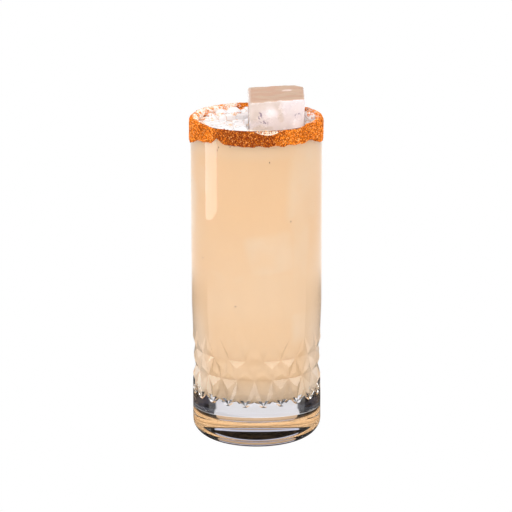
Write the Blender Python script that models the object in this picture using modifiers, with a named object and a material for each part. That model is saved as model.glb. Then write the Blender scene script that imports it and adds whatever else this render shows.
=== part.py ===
"""A paloma in a tall tumbler: cut glass, cloudy grapefruit drink, ice and a chilli-salt rim.

Metres, +Z up. The origin is on the tumbler's axis, at the plane that its foot stands on.
The front of the glass faces -Y. An angle round the glass is counted from the front towards +X.
"""

import math

import bmesh
import bpy
from mathutils import Euler, Vector, noise

MM = 0.001

# Driving sizes of the tumbler
HEIGHT = 165 * MM
OUTER_RADIUS = 33.0 * MM
WAIST_RADIUS = 32.4 * MM  # where the plain wall runs into the cuts
BASE_RADIUS = 32.6 * MM
WAIST_TOP = 72 * MM
WAIST_BOTTOM = 52 * MM
WALL_AT_LIP = 2.4 * MM
INNER_RADIUS_LOW = 28.8 * MM
FLOOR_HEIGHT = 24 * MM
FLOOR_CORNER = 6 * MM
HEEL_RADIUS = 8 * MM
FOOT_INNER_RADIUS = 17 * MM
PUNT_DEPTH = 1.2 * MM
ROUND_STEPS = 66  # three to each cell of the cut band

# The cut band: triangular cells in three rows between rings of valleys
CELLS = 22
CELL_ANGLE = 2 * math.pi / CELLS
BAND_PHASE = math.radians(6)
TIP_HEIGHT = 23.6 * MM
SCALLOP_HEIGHT = 26.4 * MM
LOW_VALLEY_HEIGHT = 36.6 * MM
HIGH_VALLEY_HEIGHT = 46.7 * MM
PEAK_HEIGHT = 58 * MM
CUT_RINGS = (
    (BASE_RADIUS + 6 * MM, -10 * MM),
    (BASE_RADIUS + 2 * MM, TIP_HEIGHT - 2.2 * MM),
    (32.1 * MM, TIP_HEIGHT),
    (31.1 * MM, LOW_VALLEY_HEIGHT),
    (31.4 * MM, HIGH_VALLEY_HEIGHT),
    (WAIST_RADIUS + 0.1 * MM, PEAK_HEIGHT),
    (OUTER_RADIUS + 6 * MM, PEAK_HEIGHT + 8 * MM),
    (OUTER_RADIUS + 6 * MM, HEIGHT + 10 * MM),
)

# For each kind of cell: the rings that it lies between, if it stands upright, and its rise
CELL_RISES = (
    (TIP_HEIGHT, LOW_VALLEY_HEIGHT, True, 1.5 * MM),
    (TIP_HEIGHT, LOW_VALLEY_HEIGHT, False, 1.2 * MM),
    (LOW_VALLEY_HEIGHT, HIGH_VALLEY_HEIGHT, True, 1.1 * MM),
    (LOW_VALLEY_HEIGHT, HIGH_VALLEY_HEIGHT, False, 1.1 * MM),
    (HIGH_VALLEY_HEIGHT, PEAK_HEIGHT, True, 0.45 * MM),
)

# The drink and the room that touching pieces keep between them
LEVEL = 160 * MM
GAP = 0.3 * MM

# The rim's crust, measured along the lip's section
CRUST_DEPTH = 8.0 * MM
CRUST_SIDE_DEPTH = 3.6 * MM  # how much deeper it is at the sides and back
CRUST_THICKNESS = 0.75 * MM
CRUST_STEPS = 110
CRUST_ROWS = 12
CRUST_KNEE = 0.34  # share of the rows that lies on the wall's outside
LIP_RADIUS = WALL_AT_LIP / 2

# Each ice block: name, size, centre, turn in degrees, draft per side, noise seed
ICE_EDGE = 1.7 * MM
ICE_BLOCKS = (
    ("ice_block_tall", (27.6, 25.5, 27), (10.6, 3.9, 162.9), (4, 0.5, 0), 0.045, 1),
    ("ice_block_left", (13, 21.5, 24), (-20.1, -5.0, 150.6), (1, 2, 8), 0.02, 2),
    ("ice_block_middle", (7.2, 25, 22), (-8.5, -4.0, 151.4), (2, 1, 4), 0.02, 3),
    ("ice_block_back", (16.5, 11, 24), (-13.4, 15.4, 151.6), (-2, 2, 22), 0.02, 4),
)

SHARP_ANGLE = math.radians(15)
COLOURS = {
    "glass": ((0.93, 0.95, 0.95, 1), 0.03),
    "drink": ((0.90, 0.59, 0.36, 1), 0.25),
    "crust": ((0.62, 0.17, 0.04, 1), 0.9),
    "ice": ((0.86, 0.84, 0.84, 1), 0.12),
}


def clear_scene():
    for thing in list(bpy.data.objects):
        bpy.data.objects.remove(thing)


def new_collection(name):
    collection = bpy.data.collections.new(name)
    bpy.context.scene.collection.children.link(collection)
    return collection


def new_material(name):
    colour, roughness = COLOURS[name]
    material = bpy.data.materials.new(name)
    material.use_nodes = True
    shader = material.node_tree.nodes["Principled BSDF"]
    shader.inputs["Base Color"].default_value = colour
    shader.inputs["Roughness"].default_value = roughness
    shader.inputs["Metallic"].default_value = 0.0
    if name in ("glass", "ice"):
        shader.inputs["Transmission Weight"].default_value = 0.9
    return material


def add_object(name, mesh, collection, material=None):
    thing = bpy.data.objects.new(name, mesh)
    collection.objects.link(thing)
    if material:
        mesh.materials.append(material)
    return thing


def add_helper(name, mesh, collection):
    helper = add_object(name, mesh, collection)
    helper.hide_render = True
    helper.display_type = "WIRE"
    return helper


def around(radius, angle, height):
    """A point at this angle from the front of the glass."""
    return Vector((radius * math.sin(angle), -radius * math.cos(angle), height))


def arc(centre_radius, centre_height, radius, start, end, steps):
    """Points of an arc in the section plane, from start to end in degrees."""
    points = []
    for step in range(steps + 1):
        turn = math.radians(start + (end - start) * step / steps)
        points.append(
            (
                centre_radius + radius * math.cos(turn),
                centre_height + radius * math.sin(turn),
            )
        )
    return points


def blend(low, high, share):
    return low + (high - low) * share


def smooth(share):
    share = min(1.0, max(0.0, share))
    return share * share * (3 - 2 * share)


def inner_radius(height):
    """The cavity narrows evenly from the lip to the floor."""
    share = (height - FLOOR_HEIGHT) / (HEIGHT - FLOOR_HEIGHT)
    return blend(INNER_RADIUS_LOW, OUTER_RADIUS - WALL_AT_LIP, share)


def turned(name, profile, steps, collection, material=None):
    """A closed solid of revolution about Z, from a section that starts and ends on the axis."""
    edges = [(index, index + 1) for index in range(len(profile) - 1)]
    mesh = bpy.data.meshes.new(name)
    mesh.from_pydata([(radius, 0, height) for radius, height in profile], edges, [])
    thing = add_object(name, mesh, collection, material)
    screw = thing.modifiers.new("turn", "SCREW")
    screw.steps = steps
    screw.render_steps = steps
    screw.use_merge_vertices = True
    screw.merge_threshold = 0.00001
    return thing


def glass_section():
    """The tumbler's section, from the axis over the floor and lip to the foot and back."""
    waist = []
    for step in range(1, 5):
        share = step / 4
        height = blend(WAIST_TOP, WAIST_BOTTOM, share)
        waist.append((blend(OUTER_RADIUS, WAIST_RADIUS, smooth(share)), height))
    corner_radius = inner_radius(FLOOR_HEIGHT + FLOOR_CORNER) - FLOOR_CORNER
    lip_centre = OUTER_RADIUS - LIP_RADIUS
    punt = FOOT_INNER_RADIUS + PUNT_DEPTH
    outside = [(0, PUNT_DEPTH), (FOOT_INNER_RADIUS * 0.6, PUNT_DEPTH * 0.85)]
    outside += [(FOOT_INNER_RADIUS, PUNT_DEPTH * 0.3), (punt, 0)]
    outside += arc(BASE_RADIUS - HEEL_RADIUS, HEEL_RADIUS, HEEL_RADIUS, -90, 0, 7)
    outside += [(BASE_RADIUS, HIGH_VALLEY_HEIGHT * 0.6)]
    outside += list(reversed(waist))
    outside += [(OUTER_RADIUS, WAIST_TOP)]
    outside += arc(lip_centre, HEIGHT - LIP_RADIUS, LIP_RADIUS, 0, 180, 6)
    inside = arc(corner_radius, FLOOR_HEIGHT + FLOOR_CORNER, FLOOR_CORNER, 0, -90, 5)
    inside += [(corner_radius * 0.5, FLOOR_HEIGHT), (0, FLOOR_HEIGHT)]
    return list(reversed(outside + inside))


def cells_between(shape, low, high, points_up):
    """The triangles between two rings that stand on the lower ring, or that hang from the upper one."""
    found = []
    for face in shape.faces:
        heights = sorted(vert.co.z for vert in face.verts)
        if len(heights) == 3 and abs(heights[0] - low) + abs(heights[2] - high) < 0.1 * MM:
            if (heights[1] - low < high - heights[1]) == points_up:
                found.append(face)
    return found


def lift_ring_edges(shape, height, radius, new_height):
    """Splits each edge of a ring and moves the new points out."""
    ring = []
    for edge in shape.edges:
        if all(abs(vert.co.z - height) < 0.1 * MM for vert in edge.verts):
            ring.append(edge)
    split = bmesh.ops.subdivide_edges(shape, edges=ring, cuts=1)
    for vert in split["geom_inner"]:
        if isinstance(vert, bmesh.types.BMVert):
            flat = Vector((vert.co.x, vert.co.y, 0)).normalized() * radius
            vert.co = flat + Vector((0, 0, new_height))


def cut_envelope(collection):
    """What the cutting leaves standing: a faceted core that is wider than the glass outside the band.

    A triangle grid is rolled round the axis, each ring half a cell further round than the last.
    Each triangle of the band is a cell, and poking it raises its middle to a low point.
    """
    shape = bmesh.new()
    rows = len(CUT_RINGS) - 1
    bmesh.ops.create_grid(shape, x_segments=CELLS, y_segments=rows, size=0.5)
    for vert in shape.verts:
        row = round((vert.co.y + 0.5) * rows)
        radius, height = CUT_RINGS[row]
        column = (vert.co.x + 0.5) * CELLS + row / 2
        vert.co = around(radius, BAND_PHASE + column * CELL_ANGLE, height)
    bmesh.ops.remove_doubles(shape, verts=shape.verts, dist=0.01 * MM)
    bmesh.ops.triangulate(shape, faces=shape.faces[:], quad_method="SHORT_EDGE")
    bmesh.ops.recalc_face_normals(shape, faces=shape.faces[:])
    for low, high, points_up, rise in CELL_RISES:
        cells = cells_between(shape, low, high, points_up)
        bmesh.ops.poke(shape, faces=cells, offset=rise)
    lift_ring_edges(shape, TIP_HEIGHT, BASE_RADIUS, SCALLOP_HEIGHT)
    lift_ring_edges(shape, PEAK_HEIGHT, OUTER_RADIUS + 1.6 * MM, PEAK_HEIGHT)
    bmesh.ops.holes_fill(shape, edges=shape.edges[:], sides=0)
    bmesh.ops.triangulate(shape, faces=shape.faces[:])
    bmesh.ops.recalc_face_normals(shape, faces=shape.faces[:])
    mesh = bpy.data.meshes.new("cut_envelope")
    shape.to_mesh(mesh)
    shape.free()
    return add_helper("cut_envelope", mesh, collection)


def add_boolean(thing, other, operation):
    boolean = thing.modifiers.new(operation.lower(), "BOOLEAN")
    boolean.operation = operation
    boolean.object = other
    boolean.solver = "EXACT"


def make_glass(collection, cutters):
    glass = turned(
        "glass", glass_section(), ROUND_STEPS, collection, new_material("glass")
    )
    add_boolean(glass, cut_envelope(cutters), "INTERSECT")
    return glass


def shaped_block(name, size, draft, seed, grow):
    """A worn block of ice about its own centre: rounded edges, drafted sides, shallow melted dips."""
    shape = bmesh.new()
    bmesh.ops.create_cube(shape, size=1)
    full = Vector(size) * MM + Vector((2, 2, 2)) * grow
    bmesh.ops.scale(shape, vec=full, verts=shape.verts)
    for vert in shape.verts:
        widen = 1 - draft * vert.co.z / (full.z / 2)
        vert.co.x *= widen
        vert.co.y *= widen
    bmesh.ops.bevel(
        shape,
        geom=shape.edges[:],
        offset=ICE_EDGE,
        segments=2,
        profile=0.6,
        affect="EDGES",
    )
    long_edges = [edge for edge in shape.edges if edge.calc_length() > 4 * MM]
    bmesh.ops.subdivide_edges(shape, edges=long_edges, cuts=2, use_grid_fill=True)
    shape.normal_update()
    for vert in shape.verts:
        place = vert.co / (9 * MM) + Vector((seed * 7.3, 0, 0))
        vert.co += vert.normal * (noise.noise(place) * 0.55 * MM)
    bmesh.ops.triangulate(shape, faces=shape.faces[:])
    mesh = bpy.data.meshes.new(name)
    shape.to_mesh(mesh)
    shape.free()
    return mesh


def place_block(block, centre, turn):
    block.location = Vector(centre) * MM
    block.rotation_euler = Euler([math.radians(angle) for angle in turn])


def make_ice(collection, cutters):
    """The blocks that stand out of the drink, and for each a hollow just larger than itself."""
    material = new_material("ice")
    hollows = []
    for name, size, centre, turn, draft, seed in ICE_BLOCKS:
        mesh = shaped_block(name, size, draft, seed, 0)
        block = add_object(name, mesh, collection, material)
        place_block(block, centre, turn)
        room = shaped_block(name + "_room", size, draft, seed, GAP)
        hollow = add_helper(name + "_room", room, cutters)
        place_block(hollow, centre, turn)
        hollows.append(hollow)
    return hollows


def make_drink(collection, hollows):
    """The drink fills the cavity up to its level, less the hollows that the ice sits in."""
    corner_height = FLOOR_HEIGHT + FLOOR_CORNER
    corner_radius = inner_radius(corner_height) - FLOOR_CORNER
    section = [(0, LEVEL), (inner_radius(LEVEL) - GAP, LEVEL)]
    section += arc(corner_radius, corner_height, FLOOR_CORNER - GAP, 0, -90, 5)
    section += [(0, FLOOR_HEIGHT + GAP)]
    drink = turned("drink", section, ROUND_STEPS, collection, new_material("drink"))
    for hollow in hollows:
        add_boolean(drink, hollow, "DIFFERENCE")
    return drink


def side_share(angle):
    """0 round the front of the glass, 1 at its sides and back."""
    from_front = abs(math.degrees(math.remainder(angle, 2 * math.pi)))
    return smooth((from_front - 36) / 36)


def wander(angle, scale, seed):
    """A smooth repeatable wave round the rim, from about -1 to 1."""
    place = Vector((math.cos(angle), math.sin(angle), 0)) * scale
    return 2 * noise.noise(place + Vector((0, 0, seed)))


def dip(angle, centre, width):
    """A notch of depth 1 at an angle, fading out over a width, all in degrees."""
    away = math.degrees(math.remainder(angle - math.radians(centre), 2 * math.pi))
    return smooth(1 - abs(away) / width)


def crust_reach(angle):
    """(lower edge, end) of the crust along the lip's section, counted from the lip's outer shoulder.

    Down the outside is negative. Past the arc over the lip it runs down the inside.
    """
    at_side = smooth((abs(math.degrees(math.remainder(angle, 2 * math.pi))) - 52) / 36)
    lower = CRUST_DEPTH + CRUST_SIDE_DEPTH * at_side * (1 - 0.15 * math.sin(angle))
    lower += CRUST_DEPTH * (0.07 * wander(angle, 2.5, 3) + 0.06 * wander(angle, 9, 5))
    lower -= 2.2 * MM * dip(angle, -36, 4.5)
    over_lip = math.pi * LIP_RADIUS
    front_end = 0.1 * MM - 2.4 * MM * dip(angle, 10, 15)
    front_end -= 0.25 * MM * (1 + wander(angle, 8, 11))
    near_tall_block = dip(angle, 122, 42)
    inner_leg = 1.5 * MM * (1 + 0.5 * wander(angle, 4, 8)) * (1 - near_tall_block)
    side_end = over_lip * (1 - 0.2 * near_tall_block) + inner_leg
    return LIP_RADIUS - lower, blend(front_end, side_end, side_share(angle))


def lip_point(along, angle):
    """A point just clear of the glass, at a distance along the lip's section from its shoulder."""
    offset = LIP_RADIUS + GAP
    centre = OUTER_RADIUS - LIP_RADIUS
    shoulder = HEIGHT - LIP_RADIUS
    arc_length = math.pi * LIP_RADIUS
    if along <= 0:
        return around(centre + offset, angle, shoulder + along)
    if along < arc_length:
        turn = along / LIP_RADIUS
        radius = centre + offset * math.cos(turn)
        return around(radius, angle, shoulder + offset * math.sin(turn))
    return around(centre - offset, angle, shoulder - (along - arc_length))


def make_crust(collection):
    """Chilli salt stuck round the rim: a sheet wrapped over the lip, then thickened unevenly."""
    shape = bmesh.new()
    bmesh.ops.create_grid(
        shape, x_segments=CRUST_STEPS, y_segments=CRUST_ROWS, size=0.5
    )
    weights = {}
    for vert in shape.verts:
        angle = 2 * math.pi * (vert.co.x + 0.5)
        row_share = vert.co.y + 0.5
        start, end = crust_reach(angle)
        # Where the sheet goes over the lip, more of its rows are needed there
        knee = blend(blend(start, end, CRUST_KNEE), 0, side_share(angle))
        if row_share < CRUST_KNEE:
            along = blend(start, knee, row_share / CRUST_KNEE)
        else:
            along = blend(knee, end, (row_share - CRUST_KNEE) / (1 - CRUST_KNEE))
        vert.co = lip_point(along, angle)
    bmesh.ops.remove_doubles(shape, verts=shape.verts, dist=0.01 * MM)
    bmesh.ops.recalc_face_normals(shape, faces=shape.faces[:])
    shape.verts.ensure_lookup_table()
    shape.verts.index_update()
    for vert in shape.verts:
        lumps = noise.noise(vert.co / (1.9 * MM)) + 0.5 * noise.noise(vert.co / MM)
        edge_fade = 0.55 if vert.is_boundary else 1.0
        weights[vert.index] = edge_fade * min(1.0, max(0.35, 0.72 + 0.55 * lumps))
    mesh = bpy.data.meshes.new("chilli_salt_rim")
    shape.to_mesh(mesh)
    shape.free()
    crust = add_object("chilli_salt_rim", mesh, collection, new_material("crust"))
    lumps_group = crust.vertex_groups.new(name="lumps")
    for index, weight in weights.items():
        lumps_group.add([index], weight, "REPLACE")
    solidify = crust.modifiers.new("thickness", "SOLIDIFY")
    solidify.thickness = CRUST_THICKNESS
    solidify.offset = 1
    solidify.vertex_group = "lumps"
    return crust


def main():
    clear_scene()
    parts = new_collection("paloma")
    cutters = new_collection("cutters")
    cutters.hide_render = True
    make_glass(parts, cutters)
    hollows = make_ice(parts, cutters)
    make_drink(parts, hollows)
    make_crust(parts)
    for part in parts.objects:
        part.data.shade_smooth()
        part.data.set_sharp_from_angle(angle=SHARP_ANGLE)


main()
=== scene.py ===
"""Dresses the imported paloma: cut glass, cloudy drink, clear and frosted ice, chilli-salt rim.

Laid out as a Blender add-on and run as a script. Metres, +Z up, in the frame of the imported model.
Angles round the glass are counted from its front, which faces -Y, towards +X.
"""

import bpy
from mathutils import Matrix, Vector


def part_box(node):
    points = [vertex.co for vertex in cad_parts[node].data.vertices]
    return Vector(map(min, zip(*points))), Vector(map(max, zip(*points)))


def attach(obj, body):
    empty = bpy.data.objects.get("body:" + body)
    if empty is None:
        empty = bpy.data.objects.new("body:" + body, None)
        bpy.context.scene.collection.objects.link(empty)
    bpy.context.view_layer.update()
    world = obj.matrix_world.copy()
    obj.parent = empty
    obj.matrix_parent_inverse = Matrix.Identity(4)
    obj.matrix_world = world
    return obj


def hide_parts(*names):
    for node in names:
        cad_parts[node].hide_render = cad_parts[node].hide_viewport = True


bl_info = {
    "name": "Paloma in a cut-glass tumbler",
    "version": (1, 0, 0),
    "blender": (4, 5, 0),
    "location": "3D View > Sidebar > Paloma",
    "description": "Models and finishes a paloma in its tumbler round the packed model",
    "category": "Object",
}

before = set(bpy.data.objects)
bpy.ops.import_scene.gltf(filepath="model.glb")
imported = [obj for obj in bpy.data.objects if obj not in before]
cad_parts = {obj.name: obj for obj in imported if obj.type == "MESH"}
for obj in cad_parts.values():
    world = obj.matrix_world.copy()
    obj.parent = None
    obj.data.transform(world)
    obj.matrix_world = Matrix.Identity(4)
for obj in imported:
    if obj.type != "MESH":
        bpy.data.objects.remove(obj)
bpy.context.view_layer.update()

import math

import bmesh
import bpy
from bpy.props import FloatProperty, FloatVectorProperty, IntProperty, PointerProperty
from mathutils import Vector
from mathutils.noise import noise as noise_at

MM = 0.001
GLASS_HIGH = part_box("glass")[1]
DRINK_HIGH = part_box("drink")[1]

# The tumbler's section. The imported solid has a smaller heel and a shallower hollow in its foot
HEIGHT = GLASS_HIGH.z
OUTER_RADIUS = GLASS_HIGH.x
WAIST_RADIUS = 32.4 * MM
BASE_RADIUS = 32.6 * MM
WAIST_TOP = 72 * MM
WAIST_BOTTOM = 52 * MM
WALL_AT_LIP = 2.4 * MM
LIP_RADIUS = WALL_AT_LIP / 2
INNER_RADIUS_LOW = 28.8 * MM
FLOOR_HEIGHT = 24 * MM
FLOOR_CORNER = 6 * MM
HEEL_WIDTH = 9.6 * MM
HEEL_HEIGHT = 8.2 * MM
PUNT_RADIUS = 22 * MM
PUNT_DEPTH = 4 * MM
LEVEL = DRINK_HIGH.z
MENISCUS_WIDTH = 2.2 * MM
MENISCUS_RISE = 0.7 * MM

# How far the drink reaches into the glass and the ice, so that no gap shows between them
REACH = 0.12 * MM

# How near a point comes to a height to count as on it
NEAR = 0.1 * MM

# The cut band: rings of valleys with triangular cells between them. The phase is the angle
# from the front of the nearest corner of its first ring
CELLS = 22
CELL_ANGLE = 2 * math.pi / CELLS
BAND_PHASE = math.radians(6)
TIP_HEIGHT = 23.6 * MM
SCALLOP_HEIGHT = 26.4 * MM
LOW_VALLEY_HEIGHT = 36.6 * MM
HIGH_VALLEY_HEIGHT = 46.7 * MM
PEAK_HEIGHT = 58 * MM
CUT_RINGS = (
    (BASE_RADIUS + 6 * MM, -10 * MM),
    (BASE_RADIUS + 2 * MM, TIP_HEIGHT - 2.2 * MM),
    (32.1 * MM, TIP_HEIGHT),
    (31.1 * MM, LOW_VALLEY_HEIGHT),
    (31.4 * MM, HIGH_VALLEY_HEIGHT),
    (WAIST_RADIUS + 0.1 * MM, PEAK_HEIGHT),
    (OUTER_RADIUS + 6 * MM, PEAK_HEIGHT + 8 * MM),
    (OUTER_RADIUS + 6 * MM, HEIGHT + 10 * MM),
)

# For each kind of cell: the rings that it lies between, if it stands upright, and its rise
CELL_RISES = (
    (TIP_HEIGHT, LOW_VALLEY_HEIGHT, True, 1.5 * MM),
    (TIP_HEIGHT, LOW_VALLEY_HEIGHT, False, 1.2 * MM),
    (LOW_VALLEY_HEIGHT, HIGH_VALLEY_HEIGHT, True, 1.1 * MM),
    (LOW_VALLEY_HEIGHT, HIGH_VALLEY_HEIGHT, False, 1.1 * MM),
    (HIGH_VALLEY_HEIGHT, PEAK_HEIGHT, True, 0.45 * MM),
)

# The studio. Its back and front walls are bounded by angles from straight behind the glass, and
# the softboxes on the front one by angles from straight in front
BACKDROP_RADIUS = 1.35
BACKDROP_SPREAD = math.radians(78)
FRONT_WALL_RADIUS = 1.6
FRONT_WALL_START = math.radians(102)
SOFTBOX_ANGLES = (24, 64)

# The lit window on each side: its name, side, lower and upper edge
WINDOWS = (("left", -1, 0.012, 0.7), ("right", 1, 0.12, 0.7))
WINDOW_WIDTH = 0.215
WINDOW_ASIDE = 0.436
WINDOW_FORWARD = 0.061
WINDOW_TURN = math.radians(8)
WINDOW_LEAN = math.radians(1.6)

# The opening behind the glass, from the floor up: top in degrees and light of each band
OPENING_BANDS = (
    ("warm_card", 9, (0.66, 0.43, 0.26)),
    ("dim_card", 15.6, (0.38, 0.25, 0.15)),
    ("lit_opening", 21, (0.60, 0.60, 0.74)),
)

# Ice that stands out of the drink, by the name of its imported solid
CLEAR_ICE = ("ice_block_tall",)
FROSTED_ICE = ("ice_block_left", "ice_block_middle", "ice_block_back")

# The tall block: its box before its top is shaped, where its four top corners go, and the lines
# across and back that part those corners
TALL_BLOCK_BASE = (Vector((-3.4, -8.6, 149.2)), Vector((24.2, 18.0, 170)))
TALL_BLOCK_TOP = (
    (-3.4, -7.2, 173.9),
    (24.2, -7.2, 175.9),
    (-4.4, 18.4, 176.7),
    (24.0, 20.4, 177.7),
)
TALL_BLOCK_MIDDLE = (10 * MM, 4 * MM)

# What shows in the tall block. Each mark: centre, half size and softness
ICE_CORES = (((7.2, -7, 168.8), (0.3, 3, 0.5), 3.6), ((20, -7, 163), (0.6, 3, 1.0), 3.4))
ICE_GREYS = (
    ((-1.5, -7, 171), (1.8, 30, 5), 3.0),
    ((6, -7, 172.5), (5, 30, 1.2), 3.0),
    ((12.2, -7, 168), (0.3, 30, 3), 1.6),
    ((3, -7, 161), (4, 30, 0.4), 1.6),
)
ICE_MARKS = (
    ((1.8, -7, 167.5), (0.4, 3, 1.4), 1.2),
    ((3.4, -7, 164.2), (2.4, 3, 0.3), 1.0),
    ((20.6, -7, 167.8), (0.5, 3, 0.4), 1.2),
)
# A painted highlight on the block's wet top
ICE_PAINTED_HIGHLIGHT = (((15.7, 10.5, 175.5), (1.3, 0.2, 3), 2.0),)

# How deep melting has dented the blocks
MELT_DEPTH = 0.5 * MM

# The broken ice between the blocks: its levels, its fineness, its gap to the wall, the planes
# that bound each sheet, and the piles on it by place, rise and breadth
SLUSH_LOW = LEVEL - 2 * MM
SLUSH_HIGH = LEVEL + 1 * MM
SLUSH_STEP = 0.35 * MM
SLUSH_GAP = 0.3 * MM
SLUSH_SHEETS = (
    ("ice_slush", (((-3.9, 0), (1, 0.01)), ((-3.4, -9.5), (0.55, -1)))),
    ("ice_slush_right", (((24.4, 0), (-1, 0)), ((24.4, -6), (0, -1)))),
)
SLUSH_PILES = (((-14, 24), 3.6, 15), ((-27, 8), 1.8, 9), ((27, 10), 5, 9))

# Chilli salt that fell on the ice: place and breadth of each patch, across and back
CRUMB_PATCHES = (
    (-21, 10, 3.6), (-18, 15, 2.6), (-24, 18, 3.2), (-10.5, 8, 1.6), (-11, 13, 2.0),
    (-9, 17, 1.4), (-27, 6, 2.0), (-28, -1, 1.6), (-16, 26, 3.0), (-8, 27, 2.4), (-22, 3, 1.2),
    (26.5, 11, 3.4), (27, 5, 2.2),
)

# Ice that is sunk in the drink and shows as paler places: angle, height, turn, width, tallness
SUNKEN_ICE = (
    (50, 138, 3, 25, 46),
    (14, 101, -7, 30, 27),
    (-33, 87, 5, 30, 19),
    (52, 62, -4, 24, 24),
    (45, 104, 2, 18, 48),
    (82, 62, 3, 22, 36),
    (-84, 66, -3, 20, 30),
    (-56, 138, 4, 8, 18),
    (-80, 122, 8, 16, 34),
    (-98, 84, -6, 28, 30),
    (95, 96, 6, 28, 30),
    (140, 132, -6, 30, 28),
    (-150, 134, 8, 30, 30),
    (168, 88, 5, 32, 30),
    (-140, 60, -8, 28, 28),
    (125, 58, 4, 28, 30),
)

# How far the sunken ice lies from the axis, half its depth and the width of its soft edge, in mm
SUNKEN_REACH = 22
SUNKEN_DEPTH = 12
SUNKEN_EDGE = 6

# How far the crust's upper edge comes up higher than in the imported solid: from the left to the
# right of the front, an even step of angle apart
CRUST_LIFT_START = -38
CRUST_LIFT_STEP = 14
CRUST_LIFTS = (1.1, 1.6, 1.4, 1.6, 1.4, 1.3, 0.8)

# How much of its width the crust's bed keeps, to leave room for the grains on it
BED_SHARE = 0.988

# The angles between which the crust is thin on the lip, and the share of its grains there
BARE_LIP = (-14, 32)
BARE_LIP_GRAINS = 0.4

# The draws of the places of the crumbs on the ice and on the lip
CRUMB_SEED = 7
LIP_SEED = 9

# Beads of foam on the drink: place across and back, and radius
FOAM_BEADS = (
    (-6.2, -12.3, 1.0), (-4.3, -13.0, 0.8), (-2.6, -11.8, 1.1), (-0.6, -12.8, 0.9),
    (1.4, -12.0, 0.7), (-7.6, -14.0, 0.7), (-5.2, -15.0, 0.9), (-3.2, -14.8, 0.6),
    (-1.6, -14.6, 0.8), (0.6, -14.4, 0.6), (2.6, -13.4, 0.8), (-9.0, -16.2, 0.8),
    (-6.8, -17.0, 0.6), (3.9, -12.2, 0.5), (-0.4, -16.4, 0.6),
)

# Chilli flecks against the wall of the glass: angle and height
CHILLI_FLECKS = (
    (-36, 155.5), (-37.5, 154), (-24, 156.5), (-20, 75), (33, 118), (12, 149), (-58, 97),
    (150, 120), (-130, 142), (95, 70), (-165, 88), (175, 151), (110, 139),
)

# What settings of one kind have in common
COLOUR = {"subtype": "COLOR", "size": 3, "min": 0, "max": 1}
LENGTH = {"subtype": "DISTANCE", "unit": "LENGTH"}
ANGLE = {"subtype": "ANGLE", "unit": "ROTATION"}


class PalomaGlassSettings(bpy.types.PropertyGroup):
    """Sizes and finish of the tumbler"""

    steps: IntProperty(name="Steps", description="Steps round the glass", default=264, min=66)
    tint: FloatVectorProperty(
        name="Tint", description="Colour of the glass", default=(0.985, 0.99, 0.992), **COLOUR
    )
    ior: FloatProperty(name="IOR", description="Refraction of the glass", default=1.52)


class PalomaDrinkSettings(bpy.types.PropertyGroup):
    """Colours of the drink"""

    colour: FloatVectorProperty(
        name="Drink", description="Colour of the cloudy drink", default=(0.95, 0.66, 0.39), **COLOUR
    )
    # Also the colour of the painted reflection low in the drink's body, and of the paler band near
    # the top
    pale: FloatVectorProperty(
        name="Over ice",
        description="Colour of the drink in front of sunken ice",
        default=(0.95, 0.73, 0.51),
        **COLOUR,
    )
    # Painted light: the colour of the glow low at the back of the drink
    painted_glow: FloatVectorProperty(
        name="Underside",
        description="Light that the drink carries down to the floor of the glass",
        default=(0.39, 0.20, 0.07),
        **COLOUR,
    )
    surface: FloatVectorProperty(
        name="Surface",
        description="Colour of the drink's top",
        default=(0.90, 0.78, 0.68),
        **COLOUR,
    )


class PalomaIceSettings(bpy.types.PropertyGroup):
    """Finish of the ice"""

    ior: FloatProperty(name="IOR", description="Refraction of ice", default=1.31)
    top: FloatVectorProperty(
        name="Top of clear ice",
        description="Tint of the clear block's wet top, which shows the drink",
        default=(0.52, 0.365, 0.265),
        **COLOUR,
    )
    grey: FloatVectorProperty(
        name="Grey in clear ice",
        description="Tint where the clear block lets the drink show",
        default=(0.62, 0.52, 0.46),
        **COLOUR,
    )
    clear: FloatVectorProperty(
        name="Clear ice",
        description="Tint of the clear block",
        default=(0.74, 0.665, 0.68),
        **COLOUR,
    )
    frosted: FloatVectorProperty(
        name="Frosted ice",
        description="Tint of the frosted blocks",
        default=(0.93, 0.90, 0.90),
        **COLOUR,
    )


class PalomaCrustSettings(bpy.types.PropertyGroup):
    """Grains and colours of the chilli-salt rim"""

    grain: FloatProperty(
        name="Grain", description="Size of a salt grain", default=0.46 * MM, **LENGTH
    )
    density: FloatProperty(
        name="Density", description="Grains for each square metre", default=5.3e6
    )
    seed: IntProperty(name="Seed", description="Draw of the grains' places", default=4)
    orange: FloatVectorProperty(
        name="Orange",
        description="Colour of the lit chilli salt",
        default=(0.88, 0.228, 0.016),
        **COLOUR,
    )
    # The darkest tone of the chilli salt, which the middle of the crust's front and random patches
    # lean towards
    brown: FloatVectorProperty(
        name="Brown",
        description="Colour of the wetter, darker chilli salt",
        default=(0.20, 0.030, 0.003),
        **COLOUR,
    )
    bare: FloatVectorProperty(
        name="Bare",
        description="Colour inside the rim where the chilli is sparse",
        default=(0.93, 0.86, 0.80),
        **COLOUR,
    )
    salt: FloatVectorProperty(
        name="Salt",
        description="Colour of the bare salt crystals",
        default=(0.95, 0.50, 0.17),
        **COLOUR,
    )


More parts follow.
